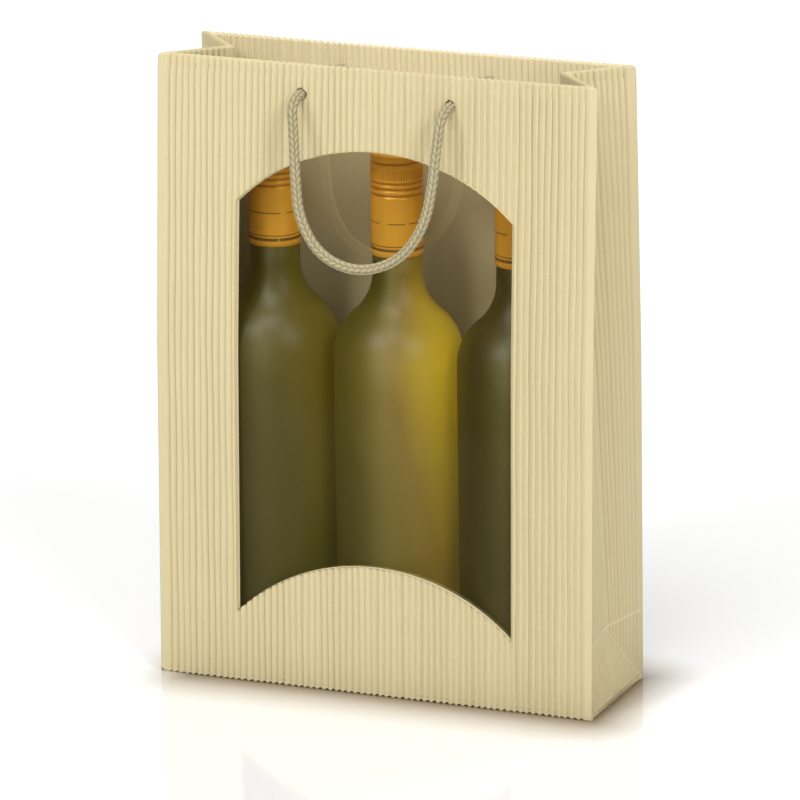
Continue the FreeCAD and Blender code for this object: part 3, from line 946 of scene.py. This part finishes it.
class BOTTLEBAG_OT_caps(bpy.types.Operator):
    """Turns the three long screw caps"""
    bl_idname = "bottlebag.caps"
    bl_label = "Caps"

    def execute(self, context):
        bottle = context.scene.bottlebag_bottle
        material = cap_look(tuple(bottle.cap))
        for place in PLACES:
            low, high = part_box("cap_" + place)
            centre = (low + high) / 2
            outline, dip = cap_outline((high.x - low.x) / 2, high.z - low.z)
            inside = np.array([[0.0135, high.z - low.z - 0.0006], [0.0146, 0.033], [0.0147, 0.0]])
            profile = np.concatenate([inside, outline])
            points = turned(profile, CAP_SEGMENTS, centre.x, centre.y, low.z, knurl)
            # The groove attribute is painted shade in the grooves and in the cuts between the knurl ribs.
            shade = np.concatenate([np.zeros(3), dip])[:, None]
            angle = np.linspace(0, 2 * math.pi, CAP_SEGMENTS + 1)
            ribs = -knurl(points[..., 2] - low.z, angle) / KNURL_DEPTH
            piece = add_piece("gold_cap_" + place, [(points, False)], material,
                              shades={"groove": [np.clip(shade + 0.65 * ribs ** 2, 0, 1)]})
            weld(piece)
            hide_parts("cap_" + place)
        return {"FINISHED"}


def plain_look(name, scale, detail, first, second, roughness, relief=None):
    """One material that wanders between two colours, with relief where it is rough to the touch."""
    look = Look(name)
    cloud = look.noise(look.place(), scale, detail)
    sockets = {"Base Color": look.mix(cloud, first, second), "Roughness": roughness}
    if relief:
        sockets["Normal"] = look.bump(cloud, relief)
    return look.paint(sockets)


class BOTTLEBAG_OT_inside(bpy.types.Operator):
    """Finishes the pieces that stay as they were built: card, wine and sealing discs"""
    bl_idname = "bottlebag.inside"
    bl_label = "Inside"

    def execute(self, context):
        wine = plain_look("pale_wine", 18.0, 1.0, (0.45, 0.38, 0.08), (0.55, 0.47, 0.12), 0.1)
        seal = plain_look("sealing_disc", 900.0, 2.0, (0.62, 0.62, 0.58), (0.74, 0.74, 0.70), 0.55)
        card = plain_look("grey_card", 700.0, 4.0, (0.20, 0.18, 0.14), (0.34, 0.31, 0.25), 0.9, 0.0002)
        looks = {"base_card": card}
        for place in PLACES:
            looks["wine_" + place] = wine
            looks["cap_seal_" + place] = seal
        for node, material in looks.items():
            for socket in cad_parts[node].material_slots:
                socket.material = material
        return {"FINISHED"}


class BOTTLEBAG_OT_stage(bpy.types.Operator):
    """Lays the pale floor and sets the lights and the camera"""
    bl_idname = "bottlebag.stage"
    bl_label = "Stage"

    def execute(self, context):
        stage = context.scene.bottlebag_stage
        self.floor()
        self.dark_cards()
        self.white_sweep()
        self.lights(stage)
        self.camera(context.scene, stage)
        context.scene.view_settings.view_transform = "Standard"
        return {"FINISHED"}

    def floor(self):
        """White, with a painted soft brown shadow round the bag's foot."""
        look = Look("pale_floor")
        cloud = look.noise(look.place(), 3.0, 1.0)
        tone = look.mix(cloud, (0.92, 0.92, 0.92), (0.94, 0.94, 0.94))
        # Painted shadow: the colour turns warm and then dark brown near the bag's foot, fading over
        # SHADE_WIDTH.
        beside = ((look.axis("X") - 0.010).math("ABSOLUTE") - SHADE_SIDE).math("MAXIMUM", 0.0) * 1.2
        before = (look.axis("Y").math("ABSOLUTE") - SHADE_FRONT).math("MAXIMUM", 0.0)
        away = (beside * beside + before * before) ** 0.5
        shade = (1 - away / SHADE_WIDTH).math("MAXIMUM", 0.0) ** 1.7
        tone = look.mix(shade ** 0.6 * 0.55, tone, (0.93, 0.82, 0.66))
        tone = look.mix(shade * 0.97, tone, (0.11, 0.06, 0.015))
        material = look.paint({"Base Color": tone, "Roughness": 0.09, "Specular IOR Level": 0.9})
        side = np.linspace(-FLOOR_HALF, FLOOR_HALF, 3)
        points = surface(side, side[:, None], -0.00005)
        floor = add_piece("floor", [(points, False)], material, body=None)

    def dark_cards(self):
        """Dark cloth on the floor and upright in front of the set, seen only in reflections, so that film and
        glass don't fog over. Its paler patches are the soft shapes that the film mirrors."""
        look = Look("dark_cloth")
        patches = look.band(look.noise(look.place(), 1.1, 1.0), 0.53, 2.0, 0.015)
        tone = look.mix(patches, (0.008, 0.008, 0.006), (0.045, 0.045, 0.035))
        cloth = look.principled({"Base Color": tone, "Roughness": 1.0, "Specular IOR Level": 0.0})
        clear = look.node("ShaderNodeBsdfTransparent")
        behind = look.node("ShaderNodeNewGeometry", output="Backfacing")
        material = look.finish(look.node("ShaderNodeMixShader", None, {0: behind, 1: cloth, 2: clear}))
        wide = np.array([0.28, CLOTH_RADIUS, CLOTH_RADIUS])[:, None]
        deep = np.array([0.06, CLOTH_RADIUS, CLOTH_RADIUS])[:, None]
        height = np.array([0.004, 0.004, 3.2])[:, None]
        angle = np.linspace(-math.pi, 0, 49)
        points = surface(wide * np.cos(angle), deep * np.sin(angle), height)
        self.reflected_only(add_piece("dark_cloth", [(points, True)], material, body=None))

    def white_sweep(self):
        """A bright cylinder round the set, seen only in reflections, so that the floor mirrors white."""
        look = Look("white_sweep")
        cloud = look.noise(look.place(), 0.5, 1.0)
        tone = look.mix(cloud, (0.97, 0.97, 0.97), (1.0, 1.0, 1.0))
        material = look.paint({"Base Color": (0.0, 0.0, 0.0), "Roughness": 1.0, "Specular IOR Level": 0.0,
                               "Emission Color": tone, "Emission Strength": 1.0})
        angle = np.linspace(0, 2 * math.pi, 97)
        height = np.array([0.01, 7.0])[:, None]
        points = surface(SWEEP_RADIUS * np.cos(angle), SWEEP_RADIUS * np.sin(angle), height)
        self.reflected_only(add_piece("white_sweep", [(points, True)], material, body=None))

    def reflected_only(self, card):
        """Keeps a card out of the picture and out of the light, apart from mirror images."""
        card.visible_camera = False
        card.visible_diffuse = False
        card.visible_shadow = False
        card.visible_transmission = False

    def lights(self, stage):
        """Soft sun lamps all round, a strip that draws the streaks on the bottles, and a dim white sky."""
        world = bpy.data.worlds.new("studio")
        world.use_nodes = True
        sky = world.node_tree.nodes["Background"]
        sky.inputs["Color"].default_value = (1.0, 1.0, 1.0, 1.0)
        sky.inputs["Strength"].default_value = 0.35
        bpy.context.scene.world = world
        for name, azimuth, elevation, share, spread in (
            ("key", -24, 36, 0.80, 14),
            ("front", 4, 60, 0.85, 25),
            ("side", 50, 32, 0.82, 25),
            ("top", 200, 84, 0.28, 12),
            ("back", 160, 36, 0.30, 25),
        ):
            lamp = self.lamp(name, "SUN", azimuth, elevation, 3.0)
            lamp.data.energy = stage.key * share
            lamp.data.angle = math.radians(spread)
        lamp = self.lamp("strip", "AREA", 48, 22, 2.3)
        lamp.data.shape = "RECTANGLE"
        lamp.data.size = 0.35
        lamp.data.size_y = 1.5
        lamp.data.energy = 6.0

    def lamp(self, name, kind, azimuth, elevation, distance):
        """A lamp aimed at the middle of the bag, from so many degrees right of the front and above level."""
        lamp = bpy.data.objects.new(name, bpy.data.lights.new(name, kind))
        bpy.context.scene.collection.objects.link(lamp)
        turn = math.radians(azimuth)
        lift = math.radians(elevation)
        out = distance * math.cos(lift)
        lamp.location = (out * math.sin(turn), -out * math.cos(turn), AIM_HEIGHT + distance * math.sin(lift))
        lamp.rotation_euler = (math.pi / 2 - lift, 0, turn)
        return lamp

    def camera(self, scene, stage):
        """Looks from azimuth and elevation, and rolls about its own line of sight."""
        data = bpy.data.cameras.new("photo")
        data.sensor_width = 36.0
        data.lens = stage.lens
        data.clip_start = 0.1
        data.clip_end = 100.0
        camera = bpy.data.objects.new("photo", data)
        scene.collection.objects.link(camera)
        camera.location = CAMERA_PLACE
        camera.rotation_mode = "XYZ"
        level = math.pi / 2 - stage.elevation
        camera.rotation_euler = (level, 0.0, stage.azimuth)
        camera.rotation_euler.rotate_axis("Z", stage.roll)
        scene.camera = camera


class BOTTLEBAG_PT_panel(bpy.types.Panel):
    """Lists the pieces of the bottle bag"""
    bl_idname = "BOTTLEBAG_PT_panel"
    bl_label = "Bottle Bag"
    bl_space_type = "VIEW_3D"
    bl_region_type = "UI"
    bl_category = "Bottle Bag"

    def draw(self, context):
        for name, (group, operators) in SECTIONS.items():
            box = self.layout.box()
            for key in group.__annotations__:
                box.prop(getattr(context.scene, name), key)
            for operator in operators:
                box.operator(operator)


SECTIONS = {
    "bottlebag_board": (BoardSettings, ("bottlebag.board", "bottlebag.inside")),
    "bottlebag_window": (WindowSettings, ("bottlebag.film",)),
    "bottlebag_handle": (HandleSettings, ("bottlebag.handles",)),
    "bottlebag_bottle": (BottleSettings, ("bottlebag.bottles", "bottlebag.caps")),
    "bottlebag_stage": (StageSettings, ("bottlebag.stage",)),
}
CLASSES = [group for group, operators in SECTIONS.values()] + [
    BOTTLEBAG_OT_board,
    BOTTLEBAG_OT_film,
    BOTTLEBAG_OT_handles,
    BOTTLEBAG_OT_bottles,
    BOTTLEBAG_OT_caps,
    BOTTLEBAG_OT_inside,
    BOTTLEBAG_OT_stage,
    BOTTLEBAG_PT_panel,
]


def register():
    for cls in CLASSES:
        bpy.utils.register_class(cls)
    for name, (group, operators) in SECTIONS.items():
        setattr(bpy.types.Scene, name, bpy.props.PointerProperty(type=group))


def unregister():
    for name in SECTIONS:
        delattr(bpy.types.Scene, name)
    for cls in reversed(CLASSES):
        bpy.utils.unregister_class(cls)


def main():
    register()
    bpy.ops.bottlebag.stage()
    bpy.ops.bottlebag.board()
    bpy.ops.bottlebag.inside()
    bpy.ops.bottlebag.bottles()
    bpy.ops.bottlebag.caps()
    bpy.ops.bottlebag.film()
    bpy.ops.bottlebag.handles()


if __name__ == "__main__":
    main()
